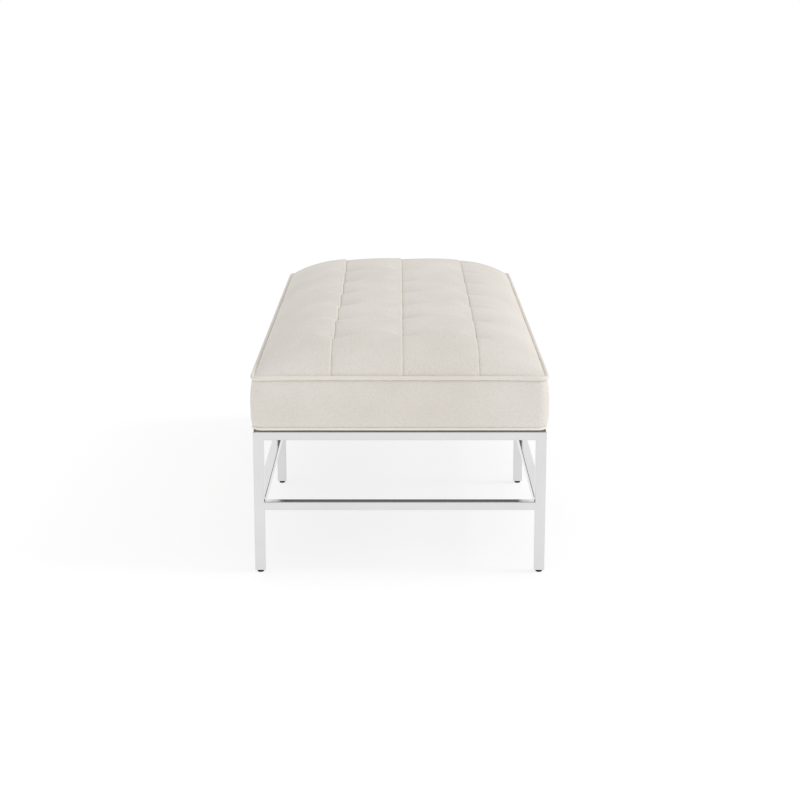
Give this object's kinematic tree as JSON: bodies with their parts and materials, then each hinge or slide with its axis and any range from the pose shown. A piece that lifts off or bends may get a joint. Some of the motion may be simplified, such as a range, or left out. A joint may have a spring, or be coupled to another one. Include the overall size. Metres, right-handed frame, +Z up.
{
  "type": "ottoman bench",
  "caption": "Long upholstered bench: crowned leather seat, tufted and channelled, with welted edges, on a welded polished square-tube frame with stretchers and screw-adjustable feet.",
  "frame": {"origin": "on the floor, under the middle of the bench", "axes": "+X along the bench, +Y across it towards the rear, +Z up"},
  "size_m": [1.4332, 0.6232, 0.4933],
  "materials": {
    "polished_tube": "polished",
    "foot_nylon": "moulded",
    "zinc_steel": "zinc plated",
    "black_strip": "matt",
    "plywood": "raw",
    "cover_leather": "smooth, semi-matt",
    "welt_leather": "smooth, semi-matt",
    "dust_cloth": "non-woven",
    "fibre_fill": "loose fibre",
    "foam": "open cell foam",
    "twine": "waxed"
  },
  "bodies": {
    "bench": {"leg_front_left": "polished_tube", "leg_front_middle": "polished_tube", "leg_front_right": "polished_tube", "leg_rear_left": "polished_tube", "leg_rear_middle": "polished_tube", "leg_rear_right": "polished_tube", "rail_front": "polished_tube", "rail_rear": "polished_tube", "rail_left": "polished_tube", "rail_right": "polished_tube", "cross_rail_middle": "polished_tube", "stretcher_left": "polished_tube", "stretcher_middle": "polished_tube", "stretcher_right": "polished_tube", "stretcher_front_left": "polished_tube", "stretcher_front_right": "polished_tube", "stretcher_rear_left": "polished_tube", "stretcher_rear_right": "polished_tube", "leg_end_caps": "polished_tube", "seat_strip_front": "black_strip", "seat_strip_rear": "black_strip", "seat_strip_left": "black_strip", "seat_strip_right": "black_strip", "seat_tabs": "polished_tube", "seat_spacers": "black_strip", "seat_bolts": "zinc_steel", "seat_inserts": "zinc_steel", "tie_washers": "zinc_steel", "seat_deck": "plywood", "hem_strip": "cover_leather", "dust_cover": "dust_cloth", "welt_top": "welt_leather", "welt_bottom": "welt_leather", "boxing_left": "cover_leather", "boxing_right": "cover_leather", "top_strip_1": "cover_leather", "top_strip_2": "cover_leather", "top_strip_3": "cover_leather", "top_strip_4": "cover_leather", "fill_layer": "fibre_fill", "foam_core": "foam", "tuft_ties": "twine"},
    "foot_front_left": {"foot_pad_front_left": "foot_nylon", "foot_stem_front_left": "zinc_steel"},
    "foot_front_middle": {"foot_pad_front_middle": "foot_nylon", "foot_stem_front_middle": "zinc_steel"},
    "foot_front_right": {"foot_pad_front_right": "foot_nylon", "foot_stem_front_right": "zinc_steel"},
    "foot_rear_left": {"foot_pad_rear_left": "foot_nylon", "foot_stem_rear_left": "zinc_steel"},
    "foot_rear_middle": {"foot_pad_rear_middle": "foot_nylon", "foot_stem_rear_middle": "zinc_steel"},
    "foot_rear_right": {"foot_pad_rear_right": "foot_nylon", "foot_stem_rear_right": "zinc_steel"}
  },
  "joints": [
    {"name": "foot_slide_front_left", "type": "slide", "parent": "bench", "child": "foot_front_left", "axis": [0, 0, -1], "range_m": [0, 0.01]},
    {"name": "foot_slide_front_middle", "type": "slide", "parent": "bench", "child": "foot_front_middle", "axis": [0, 0, -1], "range_m": [0, 0.01]},
    {"name": "foot_slide_front_right", "type": "slide", "parent": "bench", "child": "foot_front_right", "axis": [0, 0, -1], "range_m": [0, 0.01]},
    {"name": "foot_slide_rear_left", "type": "slide", "parent": "bench", "child": "foot_rear_left", "axis": [0, 0, -1], "range_m": [0, 0.01]},
    {"name": "foot_slide_rear_middle", "type": "slide", "parent": "bench", "child": "foot_rear_middle", "axis": [0, 0, -1], "range_m": [0, 0.01]},
    {"name": "foot_slide_rear_right", "type": "slide", "parent": "bench", "child": "foot_rear_right", "axis": [0, 0, -1], "range_m": [0, 0.01]}
  ]
}
